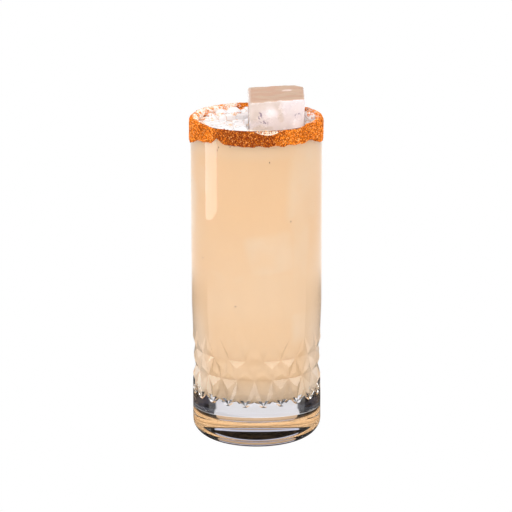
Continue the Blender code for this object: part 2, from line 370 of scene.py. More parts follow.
class PalomaStageSettings(bpy.types.PropertyGroup):
    """Camera and studio"""

    distance: FloatProperty(
        name="Distance",
        description="Level distance from the camera to the glass",
        default=1.4,
        **LENGTH,
    )
    camera_height: FloatProperty(
        name="Height", description="Height of the camera", default=0.4736, **LENGTH
    )
    roll: FloatProperty(
        name="Roll",
        description="How far the camera leans sideways",
        default=math.radians(0.12),
        **ANGLE,
    )
    pitch: FloatProperty(
        name="Pitch",
        description="How far the camera looks down",
        default=math.radians(15.2),
        **ANGLE,
    )
    lens: FloatProperty(
        name="Lens", description="Focal length in mm on a 36 mm sensor", default=201.6
    )
    world: FloatProperty(name="Room", description="Strength of the room's light", default=1.0)
    front: FloatProperty(name="Front", description="Strength of the softboxes", default=3.3)
    top: FloatProperty(name="Top", description="Strength of the light above", default=2.4)
    window: FloatProperty(name="Windows", description="Strength of the side windows", default=4)
    fill: FloatProperty(name="Fill", description="Fill light from behind", default=1.0)
    low_fill: FloatProperty(
        name="Low fill", description="Fill light from low behind the glass", default=3.0
    )
    side_fill: FloatProperty(
        name="Side fill", description="Light of the windows on matt surfaces", default=1.8
    )
    opening_width: FloatProperty(
        name="Opening width",
        description="Angle that the lit opening behind takes up",
        default=math.radians(56),
        **ANGLE,
    )


# Work on any piece


def settings(name):
    """The settings of one of the pieces or of the stage."""
    return getattr(bpy.context.scene, "paloma_" + name)


def object_mode():
    if bpy.context.object and bpy.context.object.mode != "OBJECT":
        bpy.ops.object.mode_set(mode="OBJECT")


def deselect_all():
    object_mode()
    bpy.ops.object.select_all(action="DESELECT")


def make_active(piece):
    deselect_all()
    piece.select_set(True)
    bpy.context.view_layer.objects.active = piece


def edit(piece):
    make_active(piece)
    bpy.ops.object.mode_set(mode="EDIT")
    bpy.ops.mesh.select_mode(type="VERT")


def edit_all(piece):
    """Opens a piece in edit mode with all of it selected."""
    edit(piece)
    bpy.ops.mesh.select_all(action="SELECT")


def rename(piece, name):
    piece.name = name
    piece.data.name = name
    return piece


def joined(pieces, name):
    """Several pieces made one."""
    deselect_all()
    for piece in pieces:
        piece.select_set(True)
    bpy.context.view_layer.objects.active = pieces[0]
    bpy.ops.object.join()
    return rename(bpy.context.object, name)


def own_copy(source, name):
    """A copy of a piece that belongs to nothing else."""
    make_active(source)
    bpy.ops.object.duplicate()
    piece = rename(bpy.context.object, name)
    piece.parent = None
    for key in list(piece.keys()):
        del piece[key]
    return piece


def place_applied(piece):
    """Moves the object's place into its mesh, so that the object sits at the origin."""
    make_active(piece)
    bpy.ops.object.transform_apply(location=True, rotation=True, scale=True)


def apply_modifiers(piece):
    make_active(piece)
    for modifier in list(piece.modifiers):
        bpy.ops.object.modifier_apply(modifier=modifier.name)


def select_in_edit(piece, kind, test):
    """Selects the vertices, edges or faces of the mesh being edited that pass a test."""
    bpy.ops.mesh.select_mode(type=kind)
    bpy.ops.mesh.select_all(action="DESELECT")
    mesh = bmesh.from_edit_mesh(piece.data)
    for element in {"VERT": mesh.verts, "EDGE": mesh.edges, "FACE": mesh.faces}[kind]:
        if test(element):
            element.select_set(True)
    bmesh.update_edit_mesh(piece.data)


def selected_points(piece):
    """The points that are selected in the mesh being edited."""
    return [vert for vert in bmesh.from_edit_mesh(piece.data).verts if vert.select]


def widen_selected(share, height):
    """Draws what is selected away from the axis or towards it, level with a height."""
    bpy.ops.transform.resize(value=(share, share, 1), center_override=(0, 0, height))


def turn_selected(angle):
    """Turns what is selected round the axis, towards +X at the front."""
    # The operator turns the other way when Blender has no window
    bpy.ops.transform.rotate(value=-angle, orient_axis="Z", center_override=(0, 0, 0))


def pull_up(piece, place, reach, floor, rise, breadth):
    """Raises the points above a floor that lie near a place, and the points round them less."""

    def is_near(vert):
        return vert.co.z > floor and math.hypot(vert.co.x - place.x, vert.co.y - place.y) < reach

    edit(piece)
    select_in_edit(piece, "VERT", is_near)
    if selected_points(piece):
        bpy.ops.transform.translate(
            value=(0, 0, rise),
            use_proportional_edit=True,
            proportional_edit_falloff="SMOOTH",
            proportional_size=breadth,
        )
    object_mode()


def changed(thing, **values):
    """Sets several values of a modifier, texture or node, and hands it back."""
    for name, value in values.items():
        setattr(thing, name, value)
    return thing


def refine(piece, kind):
    """Has each face split twice over, when the piece's modifiers are applied."""
    subdivision = piece.modifiers.new("refine", "SUBSURF")
    changed(subdivision, subdivision_type=kind, levels=2, render_levels=2)


def displace(piece, texture, **values):
    """Dents or raises a piece by a texture, and applies its modifiers."""
    relief = piece.modifiers.new("relief", "DISPLACE")
    changed(relief, texture=texture, texture_coords="GLOBAL", **values)
    apply_modifiers(piece)


def cut(piece, other, operation):
    """Takes another piece from this one, or keeps what both share. The other is used up."""
    boolean = piece.modifiers.new("cut", "BOOLEAN")
    changed(boolean, operation=operation, object=other, solver="EXACT")
    apply_modifiers(piece)
    bpy.data.objects.remove(other)


def shade(piece, degrees=None):
    """Smooth shading, where a number of degrees is given only between faces that turn less."""
    make_active(piece)
    if degrees is None:
        bpy.ops.object.shade_smooth()
    else:
        bpy.ops.object.shade_smooth_by_angle(angle=math.radians(degrees))


def dress(piece, material, nodes=()):
    """Gives a finished piece its material and its body, and hides the imported solids that it
    stands for.
    """
    piece.data.materials.clear()
    piece.data.materials.append(material)
    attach(piece, "root")
    if nodes:
        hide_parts(*nodes)


def dress_top(piece, material, level, floor):
    """Gives the faces of a piece above a floor that lie level enough a material of their own."""
    piece.data.materials.append(material)
    for face in piece.data.polygons:
        face.material_index = int(face.normal.z > level and face.center.z > floor)


# Measures


def smooth(share):
    share = min(1.0, max(0.0, share))
    return share * share * (3 - 2 * share)


def blend(low, high, share):
    return low + (high - low) * share


def away_from_axis(place):
    """How far a point of a mesh lies from the glass's axis."""
    return math.hypot(place.x, place.y)


def front_angle(point):
    """How far round from straight in front of the glass a point lies, towards +X."""
    return math.atan2(point.x, -point.y)


def from_behind(point):
    """How far round from straight behind the glass a point lies."""
    return math.atan2(abs(point.x), point.y)


def round_glass(angle, radius, height=0):
    """The place at an angle in degrees from the front of the glass."""
    turn = math.radians(angle)
    return Vector((radius * math.sin(turn), -radius * math.cos(turn), height))


def inner_radius(height):
    """The cavity narrows evenly from the lip to the floor."""
    share = (height - FLOOR_HEIGHT) / (HEIGHT - FLOOR_HEIGHT)
    return blend(INNER_RADIUS_LOW, OUTER_RADIUS - WALL_AT_LIP, share)


def spun(name, section, steps):
    """A closed turned piece: a point is drawn out along the section, then spun round the axis."""
    deselect_all()
    bpy.ops.mesh.primitive_plane_add(size=MM, location=(0, 0, 0))
    piece = rename(bpy.context.object, name)
    edit_all(piece)
    bpy.ops.mesh.merge(type="CENTER")
    bpy.ops.transform.translate(value=(section[0][0], 0, section[0][1]))
    for last, point in zip(section, section[1:]):
        step = (point[0] - last[0], 0, point[1] - last[1])
        bpy.ops.mesh.extrude_vertices_move(TRANSFORM_OT_translate={"value": step})
    bpy.ops.mesh.select_all(action="SELECT")
    bpy.ops.mesh.spin(steps=steps, angle=2 * math.pi, center=(0, 0, 0), axis=(0, 0, 1))
    bpy.ops.mesh.select_all(action="SELECT")
    bpy.ops.mesh.remove_doubles(threshold=0.01 * MM)
    bpy.ops.mesh.normals_make_consistent(inside=False)
    object_mode()
    return piece


# Materials


def new_material(name):
    material = bpy.data.materials.new(name)
    material.use_nodes = True
    return material, material.node_tree


def feed(tree, node, inputs):
    """Gives inputs of a node, by name or number, a value each or a link from another node."""
    for name, value in inputs.items():
        socket = node.inputs[name]
        if isinstance(value, bpy.types.NodeSocket):
            tree.links.new(value, socket)
        elif socket.type == "RGBA":
            socket.default_value = (*value[:3], 1)
        else:
            socket.default_value = value


def finished(material, inputs):
    """The material with the inputs of its shader set."""
    feed(material.node_tree, material.node_tree.nodes["Principled BSDF"], inputs)
    return material


def add_node(tree, kind, inputs=None, **values):
    node = changed(tree.nodes.new(kind), **values)
    feed(tree, node, inputs or {})
    return node


def object_coordinates(tree):
    return add_node(tree, "ShaderNodeTexCoord").outputs["Object"]


def split(tree, coordinates):
    """How far a point lies across, back and up."""
    return add_node(tree, "ShaderNodeSeparateXYZ", {0: coordinates}).outputs


def math_node(tree, operation, first, *others):
    """What an operation makes of two values, or of more of them in turn."""
    for other in others:
        pair = {0: first, 1: other}
        first = add_node(tree, "ShaderNodeMath", pair, operation=operation).outputs[0]
    return first


def product(tree, *values):
    return math_node(tree, "MULTIPLY", *values)


def vector_math(tree, operation, *values):
    inputs = dict(enumerate(values))
    node = add_node(tree, "ShaderNodeVectorMath", inputs, operation=operation)
    return node.outputs["Value" if operation == "LENGTH" else "Vector"]


def from_axis(tree, coordinates):
    """The same for a material: how far a point lies from the glass's axis."""
    return vector_math(tree, "LENGTH", vector_math(tree, "MULTIPLY", coordinates, (1, 1, 0)))


def map_range(tree, value, low, high, to_low=0.0, to_high=1.0):
    """Carries a value smoothly from one range over to another, and holds it beyond the ends."""
    inputs = {"Value": value, "From Min": low, "From Max": high}
    inputs.update({"To Min": to_low, "To Max": to_high})
    node = add_node(tree, "ShaderNodeMapRange", inputs, interpolation_type="SMOOTHSTEP")
    return node.outputs["Result"]


def mix_colour(tree, share, first, second):
    inputs = {0: share, 6: first, 7: second}
    return add_node(tree, "ShaderNodeMix", inputs, data_type="RGBA").outputs[2]


def noise(tree, vector, scale, detail):
    inputs = {"Vector": vector, "Scale": scale, "Detail": detail, "Roughness": 0.55}
    return add_node(tree, "ShaderNodeTexNoise", inputs).outputs["Fac"]


def noise_range(tree, vector, scale, detail, *ends):
    """Noise, carried from one range over to another."""
    return map_range(tree, noise(tree, vector, scale, detail), *ends)


def bump(tree, height, distance, strength):
    """Fine relief, for a shader's Normal."""
    inputs = {"Strength": strength, "Distance": distance, "Height": height}
    return add_node(tree, "ShaderNodeBump", inputs).outputs["Normal"]


def uneven(tree, coordinates, scale, reach):
    """Coordinates pushed about by noise, for shapes without straight edges."""
    inputs = {"Vector": coordinates, "Scale": scale, "Detail": 2}
    push = add_node(tree, "ShaderNodeTexNoise", inputs)
    centred = vector_math(tree, "SUBTRACT", push.outputs["Color"], (0.5, 0.5, 0.5))
    return vector_math(tree, "MULTIPLY_ADD", centred, (reach, reach, reach), coordinates)


def rounded_block_group():
    """A node group: how much of a rounded block lies at a point."""
    tree = bpy.data.node_groups.new("Rounded block", "ShaderNodeTree")
    for name in ("Vector", "Centre", "Turn", "Half size"):
        tree.interface.new_socket(name, in_out="INPUT", socket_type="NodeSocketVector")
    tree.interface.new_socket("Softness", in_out="INPUT", socket_type="NodeSocketFloat")
    tree.interface.new_socket("Mask", in_out="OUTPUT", socket_type="NodeSocketFloat")
    start = add_node(tree, "NodeGroupInput").outputs
    placed = {"Vector": start["Vector"], "Location": start["Centre"], "Rotation": start["Turn"]}
    mapping = add_node(tree, "ShaderNodeMapping", placed, vector_type="TEXTURE")
    size = vector_math(tree, "ABSOLUTE", mapping.outputs[0])
    outside = vector_math(tree, "SUBTRACT", size, start["Half size"])
    length = vector_math(tree, "LENGTH", vector_math(tree, "MAXIMUM", outside, (0, 0, 0)))
    share = math_node(tree, "DIVIDE", length, start["Softness"])
    add_node(tree, "NodeGroupOutput", {"Mask": map_range(tree, share, 0, 1, 1, 0)})
    return tree


def masked(tree, coordinates, blocks):
    """How much of any of several rounded blocks lies at a point.

    Each has a centre, a half size and a softness, in mm, and may have a turn.
    """
    group = bpy.data.node_groups.get("Rounded block") or rounded_block_group()
    total = 0.0
    for centre, half, softness, *turn in blocks:
        inputs = {
            "Vector": coordinates,
            "Centre": Vector(centre) * MM,
            "Turn": turn[0] if turn else (0, 0, 0),
            "Half size": Vector(half) * MM,
            "Softness": softness * MM,
        }
        block = add_node(tree, "ShaderNodeGroup", inputs, node_tree=group)
        total = math_node(tree, "MAXIMUM", total, block.outputs["Mask"])
    return total


def sunken_blocks():
    """The sunken ice, each block with its centre, half size, softness and turn."""
    blocks = []
    for angle, height, turn, width, tallness in SUNKEN_ICE:
        half = (max(0.5, width / 2 - SUNKEN_EDGE), SUNKEN_DEPTH, tallness / 2 - SUNKEN_EDGE)
        turns = (math.radians(turn * 0.4), math.radians(turn), math.radians(angle))
        blocks.append((round_glass(angle, SUNKEN_REACH, height), half, SUNKEN_EDGE, turns))
    return blocks


def drink_material():
    """Cloudy drink, paler over sunken ice, with painted light: a painted reflection low in its
    body, lighter lower sides, painted shade low at its front and a glow low at its back.
    """
    colours = settings("drink")
    material, tree = new_material("cloudy_drink")
    coordinates = object_coordinates(tree)
    across, back, height = split(tree, coordinates)
    clouds = noise_range(tree, coordinates, 55, 2.0, 0.3, 0.7, 0.45, 0.95)
    ice = product(tree, masked(tree, coordinates, sunken_blocks()), clouds)
    # Painted reflection: the drink is paler low in its body, up to about 122 mm, as if the glass
    # showed a bright table
    painted_reflection = map_range(tree, height, 84 * MM, 122 * MM, 0.6, 0)
    above = map_range(tree, height, 62 * MM, 78 * MM, 0.5, 1)
    painted_reflection = product(tree, painted_reflection, above)
    high = map_range(tree, height, 148 * MM, 153 * MM, 0, 0.5)
    pale = math_node(tree, "MAXIMUM", ice, painted_reflection, high)
    base = mix_colour(tree, pale, colours.colour, colours.pale)
    warm = [colours.colour[0], colours.colour[1] * 0.96, colours.colour[2] * 0.9]
    warmth = noise_range(tree, coordinates, 22, 1.0, 0.42, 0.75, 0, 0.6)
    base = mix_colour(tree, warmth, base, warm)
    # Painted light: the drink is lighter at its sides across, low in its body
    painted_light_sides = map_range(tree, math_node(tree, "ABSOLUTE", across, 0), 21 * MM, 27 * MM)
    lower = map_range(tree, height, 56 * MM, 88 * MM, 1, 0)
    base = mix_colour(tree, product(tree, painted_light_sides, lower), base, (1.0, 0.80, 0.61))
    # Painted shade: the drink is darker low down at its front, behind the lowest cuts
    foot = map_range(tree, height, 29 * MM, 39 * MM, 0.4, 0)
    front = map_range(tree, back, -26 * MM, -14 * MM, 1, 0)
    base = mix_colour(tree, product(tree, foot, front), base, (0.56, 0.42, 0.31))
    # Painted light: a glow low at the back of the drink, near the wall, stands in for light carried
    # through the drink
    low = map_range(tree, height, FLOOR_HEIGHT + 3 * MM, FLOOR_HEIGHT + 20 * MM, 1, 0)
    behind = map_range(tree, back, -4 * MM, 14 * MM)
    near_wall = map_range(tree, from_axis(tree, coordinates), 22 * MM, 25 * MM)
    low = product(tree, low, behind, near_wall)
    return finished(material, {
        "Base Color": base,
        "Roughness": 0.6,
        "Specular IOR Level": 0.0,
        "Emission Color": mix_colour(tree, low, (0, 0, 0), colours.painted_glow),
        "Emission Strength": 1.0,
    })


def drink_surface_material():
    colours = settings("drink")
    material, tree = new_material("drink_surface")
    foam = noise(tree, object_coordinates(tree), 900, 4.0)
    spread = map_range(tree, foam, 0.4, 0.65)
    return finished(material, {
        "Base Color": mix_colour(tree, spread, colours.colour, colours.surface),
        "Roughness": 0.12,
        "IOR": 1.34,
        "Normal": bump(tree, foam, 0.15 * MM, 0.4),
    })


def glass_material():
    glass = settings("glass")
    material, tree = new_material("tumbler_glass")
    smears = noise(tree, object_coordinates(tree), 160, 3.0)
    return finished(material, {
        "Base Color": glass.tint,
        "Transmission Weight": 1.0,
        "IOR": glass.ior,
        "Roughness": map_range(tree, smears, 0.55, 0.8, 0.0, 0.05),
    })


def frosted_material():
    """Ice, frosted in patches and dented by melting. Cracks show in it as thin darker lines."""
    ice = settings("ice")
    material, tree = new_material("frosted_ice")
    coordinates = object_coordinates(tree)
    inputs = {"Vector": coordinates, "Scale": 130}
    cells = add_node(tree, "ShaderNodeTexVoronoi", inputs, feature="DISTANCE_TO_EDGE")
    crack = map_range(tree, cells.outputs["Distance"], 0.0, 0.035, 1, 0)
    patches = noise_range(tree, coordinates, 90, 2.0, 0.42, 0.55)
    crack = product(tree, crack, patches)
    frost = noise(tree, coordinates, 330, 4.0)
    return finished(material, {
        "Base Color": mix_colour(tree, crack, ice.frosted, (0.72, 0.48, 0.34)),
        "Transmission Weight": 0.12,
        "IOR": ice.ior,
        "Roughness": map_range(tree, frost, 0.35, 0.7, 0.2, 0.5),
        "Normal": bump(tree, noise(tree, coordinates, 170, 2.0), 0.3 * MM, 0.4),
    })


def tall_ice_material():
    """The clear block: white, greyer high up on its left, with pale cores and a few dark marks."""
    ice = settings("ice")
    material, tree = new_material("clear_ice")
    coordinates = object_coordinates(tree)
    moved = uneven(tree, coordinates, 330, 4 * MM)
    grey = product(tree, masked(tree, moved, ICE_GREYS), 0.8)
    base = mix_colour(tree, grey, ice.clear, ice.grey)
    clouds = noise_range(tree, coordinates, 260, 3.0, 0.35, 0.65, 0.0, 0.3)
    base = mix_colour(tree, clouds, base, (0.80, 0.72, 0.70))
    cores = masked(tree, uneven(tree, coordinates, 260, 2 * MM), ICE_CORES)
    base = mix_colour(tree, cores, base, (0.90, 0.83, 0.85))
    specks = noise_range(tree, coordinates, 900, 2.0, 0.5, 0.62)
    marks = product(tree, specks, masked(tree, moved, ICE_MARKS))
    frost = noise(tree, coordinates, 330, 4.0)
    return finished(material, {
        "Base Color": mix_colour(tree, marks, base, (0.26, 0.2, 0.27)),
        "Transmission Weight": 0.12,
        "IOR": ice.ior,
        "Roughness": map_range(tree, frost, 0.35, 0.7, 0.08, 0.35),
    })


def tall_top_material():
    """The top of the clear block, wet and flat, mottled, with one painted highlight across it."""
    ice = settings("ice")
    material, tree = new_material("clear_ice_top")
    coordinates = object_coordinates(tree)
    stretched = {"Vector": coordinates, "Scale": (90, 210, 90)}
    mottle = noise(tree, add_node(tree, "ShaderNodeMapping", stretched).outputs[0], 1, 2.0)
    pinker = (ice.top[0] * 0.96, ice.top[1] * 0.86, ice.top[2] * 0.86)
    base = mix_colour(tree, map_range(tree, mottle, 0.4, 0.6), ice.top, pinker)
    # Painted highlight: one bright mark across the wet top
    painted_highlight = masked(tree, uneven(tree, coordinates, 400, 3 * MM), ICE_PAINTED_HIGHLIGHT)
    base = mix_colour(tree, painted_highlight, base, (0.76, 0.61, 0.55))
    edge = map_range(tree, split(tree, coordinates)[0], -3.4 * MM, -2.2 * MM, 0.5, 0)
    return finished(material, {
        "Base Color": mix_colour(tree, edge, base, ice.grey),
        "IOR": ice.ior,
        "Roughness": map_range(tree, mottle, 0.3, 0.7, 0.3, 0.5),
    })


def crust_material(name, per_grain):
    """Chilli salt. Grains take their tone from the draw stored on each, the bed from fine cells,
    darkened as painted shade between the grains.
    """
    colours = settings("crust")
    material, tree = new_material(name)
    coordinates = object_coordinates(tree)
    across, back, _ = split(tree, coordinates)
    if per_grain:
        draw = add_node(tree, "ShaderNodeAttribute", attribute_name="tone").outputs["Fac"]
    else:
        cells = add_node(tree, "ShaderNodeTexVoronoi", {"Vector": coordinates, "Scale": 2300})
        channels = add_node(tree, "ShaderNodeSeparateColor", {0: cells.outputs["Color"]})
        # Painted shade: the bed's tones are kept darker than the grains', as the shade between them
        draw = product(tree, channels.outputs[0], 0.8)
    # The mask named wet darkens the salt towards the middle of the crust's front, and in random
    # patches
    from_middle = math_node(tree, "ABSOLUTE", math_node(tree, "ADD", across, 4 * MM), 0)
    middle = map_range(tree, from_middle, 8 * MM, 24 * MM, 0.43, 0)
    front = map_range(tree, back, -30 * MM, -12 * MM, 1, 0)
    patches = noise_range(tree, coordinates, 85, 2.0, 0.35, 0.75, 0.0, 0.22)
    wet = math_node(tree, "MAXIMUM", product(tree, middle, front), patches)
    clumps = noise_range(tree, coordinates, 1500, 1.0, 0.36, 0.64, -0.16, 0.16)
    mixed = math_node(tree, "ADD", math_node(tree, "SUBTRACT", draw, wet), clumps)
    ramp = add_node(tree, "ShaderNodeValToRGB", {0: mixed})
    # The tones spread from brown to pale orange: partly the salt's own random colour, partly
    # painted highlight and shade on single grains
    stops = (
        (0.0, colours.brown),
        (0.3, [channel * 0.55 for channel in colours.orange]),
        (0.55, colours.orange),
        (0.84, [min(1, channel * 1.6) for channel in colours.orange]),
        (0.92, colours.salt),
    )
    while len(ramp.color_ramp.elements) < len(stops):
        ramp.color_ramp.elements.new(0.5)
    for element, (position, colour) in zip(ramp.color_ramp.elements, stops):
        element.position = position
        element.color = (*colour[:3], 1)
    speck = product(tree, math_node(tree, "GREATER_THAN", draw, 0.88), 0.5)
    tone = mix_colour(tree, speck, ramp.outputs["Color"], colours.salt)
    inner = map_range(tree, from_axis(tree, coordinates), 31.2 * MM, 32.2 * MM, 1, 0)
    left = map_range(tree, across, -12 * MM, -6 * MM, 1, 0)
    right = map_range(tree, across, 24 * MM, 27 * MM, 0, 0.4)
    chance = noise_range(tree, coordinates, 260, 2.0, 0.35, 0.6, 0.25, 0.9)
    bare = product(tree, inner, math_node(tree, "MAXIMUM", left, right), chance)
    bare = math_node(tree, "GREATER_THAN", bare, draw)
    return finished(material, {
        "Base Color": mix_colour(tree, bare, tone, colours.bare),
        "Roughness": 0.7,
        "Specular IOR Level": 0.1,
        "Normal": bump(tree, noise(tree, coordinates, 2600, 2.0), 0.12 * MM, 0.5),
    })


def bubble_material():
    material, tree = new_material("bubbles")
    film = noise(tree, object_coordinates(tree), 1200, 2.0)
    return finished(material, {
        "Base Color": (0.99, 0.97, 0.95),
        "Transmission Weight": 0.55,
        "IOR": 1.15,
        "Roughness": map_range(tree, film, 0.3, 0.7, 0.02, 0.15),
    })


def on_matt(ray):
    """1 where a ray has come by way of a matt surface, else 0."""
    return math_node(ray.id_data, "MINIMUM", ray.outputs["Diffuse Depth"], 1)


def emission_material(name, colour, fill=None):
    """Even light. With a fill, matt surfaces get that much white light from it instead."""
    material, tree = new_material(name)
    tree.nodes.remove(tree.nodes["Principled BSDF"])
    if fill:
        matt = on_matt(add_node(tree, "ShaderNodeLightPath"))
        colour = mix_colour(tree, matt, colour, (fill, fill, fill))
    glow = add_node(tree, "ShaderNodeEmission", {"Color": colour})
    feed(tree, tree.nodes["Material Output"], {"Surface": glow.outputs[0]})
    return material


def floor_material():
    """A white floor. What the glass shows of it is painted apart: painted shade near the glass, and
    a glowing patch of painted light behind it.
    """
    material, tree = new_material("white_table")
    coordinates = object_coordinates(tree)
    across, back, _ = split(tree, coordinates)
    ray = add_node(tree, "ShaderNodeLightPath")
    reach = map_range(tree, back, -20 * MM, 20 * MM, 0.065, 0.26)
    share = math_node(tree, "DIVIDE", vector_math(tree, "LENGTH", coordinates), reach)
    near = map_range(tree, share, 1, 1.35, 1, 0)
    # Painted shade: near the glass the floor is dark to what the glass shows, darker towards -X and
    # streaked; matt surfaces see it grey
    streaks = noise_range(tree, coordinates, 70, 2.0, 0.4, 0.6, -0.9, 0.9)
    to_right = math_node(tree, "ADD", map_range(tree, across, -14 * MM, 14 * MM), streaks)
    dark = mix_colour(tree, to_right, (0.003, 0.004, 0.007), (0.034, 0.035, 0.050))
    dark = mix_colour(tree, on_matt(ray), dark, (0.6, 0.6, 0.6))
    # Painted light: a glowing patch on the floor behind the glass, dimmer towards +X
    width = product(tree, math_node(tree, "SUBTRACT", back, 32 * MM), 0.6)
    side = math_node(tree, "ABSOLUTE", across, 0)
    patch = map_range(tree, math_node(tree, "SUBTRACT", width, 5 * MM, side), 0, 1.5 * MM)
    dimmer = map_range(tree, across, 4 * MM, 16 * MM, 0.715, 0.60)
    lit = product(tree, patch, near, dimmer)
    finished(material, {
        "Base Color": mix_colour(tree, near, (0.92, 0.92, 0.92), dark),
        "Roughness": 0.7,
        "Specular IOR Level": 0,
        "Emission Color": mix_colour(tree, lit, (0, 0, 0), (1, 0.97, 1)),
        "Emission Strength": 1,
    })
    seen = {
        0: ray.outputs["Is Camera Ray"],
        1: tree.nodes["Principled BSDF"].outputs[0],
        2: add_node(tree, "ShaderNodeEmission").outputs[0],
    }
    mix = add_node(tree, "ShaderNodeMixShader", seen)
    feed(tree, tree.nodes["Material Output"], {"Surface": mix.outputs[0]})
    return material


# The pieces


def arc(centre, width, height, start, end, steps):
    """Points of part of an ellipse in the section plane, from start to end in degrees."""
    points = []
    for step in range(steps + 1):
        turn = math.radians(start + (end - start) * step / steps)
        level = centre[1] + height * math.sin(turn)
        points.append((centre[0] + width * math.cos(turn), level))
    return points


def inner_section():
    """The cavity's half section, from 150 mm up its wall to the middle of its floor."""
    corner = inner_radius(FLOOR_HEIGHT + FLOOR_CORNER) - FLOOR_CORNER
    corner_centre = (corner, FLOOR_HEIGHT + FLOOR_CORNER)
    section = [(inner_radius(height * MM), height * MM) for height in (150, 120, 90, 60)]
    section += arc(corner_centre, FLOOR_CORNER, FLOOR_CORNER, 0, -90, 14)
    return section + [(corner / 2, FLOOR_HEIGHT), (0, FLOOR_HEIGHT)]


def glass_section():
    """The tumbler's section, from the axis under the foot, up the outside, and down the inside."""
    section = arc((0, 0), PUNT_RADIUS, PUNT_DEPTH, 90, 0, 28)
    heel_centre = (BASE_RADIUS - HEEL_WIDTH, HEEL_HEIGHT)
    section += arc(heel_centre, HEEL_WIDTH, HEEL_HEIGHT, -90, 0, 28)
    section += [(BASE_RADIUS, height * MM) for height in (14, 20, 26, 32, 38, 44, 50)]
    for step in range(1, 13):
        share = step / 12
        height = blend(WAIST_BOTTOM, WAIST_TOP, share)
        section.append((blend(WAIST_RADIUS, OUTER_RADIUS, smooth(share)), height))
    section += [(OUTER_RADIUS, height * MM) for height in (90, 110, 130, 150)]
    lip_centre = (OUTER_RADIUS - LIP_RADIUS, HEIGHT - LIP_RADIUS)
    section += arc(lip_centre, LIP_RADIUS, LIP_RADIUS, 0, 180, 16)
    return section + inner_section()


def cut_envelope():
    """What the cutting leaves standing: rings, each turned half a cell on, with poked cells."""
    deselect_all()
    radius, height = CUT_RINGS[0]
    bpy.ops.mesh.primitive_circle_add(
        vertices=CELLS, radius=radius, fill_type="NGON", location=(0, 0, height)
    )
    envelope = rename(bpy.context.object, "cut_envelope")
    place_applied(envelope)
    edit_all(envelope)
    turn_selected(BAND_PHASE)
    for next_radius, next_height in CUT_RINGS[1:]:
        rise = {"value": (0, 0, next_height - height)}
        bpy.ops.mesh.extrude_region_move(TRANSFORM_OT_translate=rise)
        widen_selected(next_radius / radius, next_height)
        turn_selected(CELL_ANGLE / 2)
        radius, height = next_radius, next_height
    select_in_edit(envelope, "FACE", lambda face: len(face.verts) == 4)
    bpy.ops.mesh.quads_convert_to_tris(quad_method="SHORTEST_DIAGONAL")
    for low, high, points_up, rise in CELL_RISES:

        def is_cell(face, low=low, high=high, points_up=points_up):
            heights = sorted(vert.co.z for vert in face.verts)
            spans = abs(heights[0] - low) + abs(heights[-1] - high) < NEAR
            upright = heights[1] - low < high - heights[1]
            return spans and len(heights) == 3 and upright == points_up

        select_in_edit(envelope, "FACE", is_cell)
        bpy.ops.mesh.poke(offset=rise)
    for ring_height, out_radius, out_height in (
        (TIP_HEIGHT, BASE_RADIUS, SCALLOP_HEIGHT),
        (PEAK_HEIGHT, OUTER_RADIUS + 1.6 * MM, PEAK_HEIGHT),
    ):

        def on_ring(vert, ring_height=ring_height):
            return abs(vert.co.z - ring_height) < NEAR

        def is_middle(vert, on_ring=on_ring):
            return on_ring(vert) and away_from_axis(vert.co) < ring_radius - NEAR

        select_in_edit(envelope, "EDGE", lambda edge: all(map(on_ring, edge.verts)))
        points = bmesh.from_edit_mesh(envelope.data).verts
        ring_radius = max(away_from_axis(vert.co) for vert in points if on_ring(vert))
        bpy.ops.mesh.subdivide(number_cuts=1)
        select_in_edit(envelope, "VERT", is_middle)
        widen_selected(out_radius / (ring_radius * math.cos(CELL_ANGLE / 2)), ring_height)
        bpy.ops.transform.translate(value=(0, 0, out_height - ring_height))
    bpy.ops.mesh.select_all(action="SELECT")
    bpy.ops.mesh.quads_convert_to_tris()
    bpy.ops.mesh.normals_make_consistent(inside=False)
    object_mode()
    return envelope


class PALOMA_OT_glass(bpy.types.Operator):
    """Model the tumbler, with its cut band, and give it clear glass"""

    bl_idname = "paloma.glass"
    bl_label = "Tumbler"
    bl_options = {"REGISTER", "UNDO"}

    def execute(self, context):
        tumbler = spun("tumbler", glass_section(), settings("glass").steps)
        cut(tumbler, cut_envelope(), "INTERSECT")
        shade(tumbler, 9)
        dress(tumbler, glass_material(), ["glass"])
        return {"FINISHED"}


def merged_copy(node, name):
    """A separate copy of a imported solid, with its loose triangles joined."""
    piece = own_copy(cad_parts[node], name)
    edit_all(piece)
    bpy.ops.mesh.remove_doubles(threshold=0.002 * MM)
    bpy.ops.mesh.customdata_custom_splitnormals_clear()
    bpy.ops.mesh.normals_make_consistent(inside=False)
    object_mode()
    return piece


def melted(block):
    """Dents a block of ice as melting does."""
    texture = changed(bpy.data.textures.new("melt", "CLOUDS"), noise_scale=5 * MM)
    displace(block, texture, strength=MELT_DEPTH, mid_level=0.7)
    shade(block)
    return block


def ice_piece(node):
    """The finished block that stands for a packed one."""
    if node in CLEAR_ICE:
        return tall_block()
    block = merged_copy(node, node.replace("ice_block", "ice"))
    refine(block, "SIMPLE")
    return melted(block)


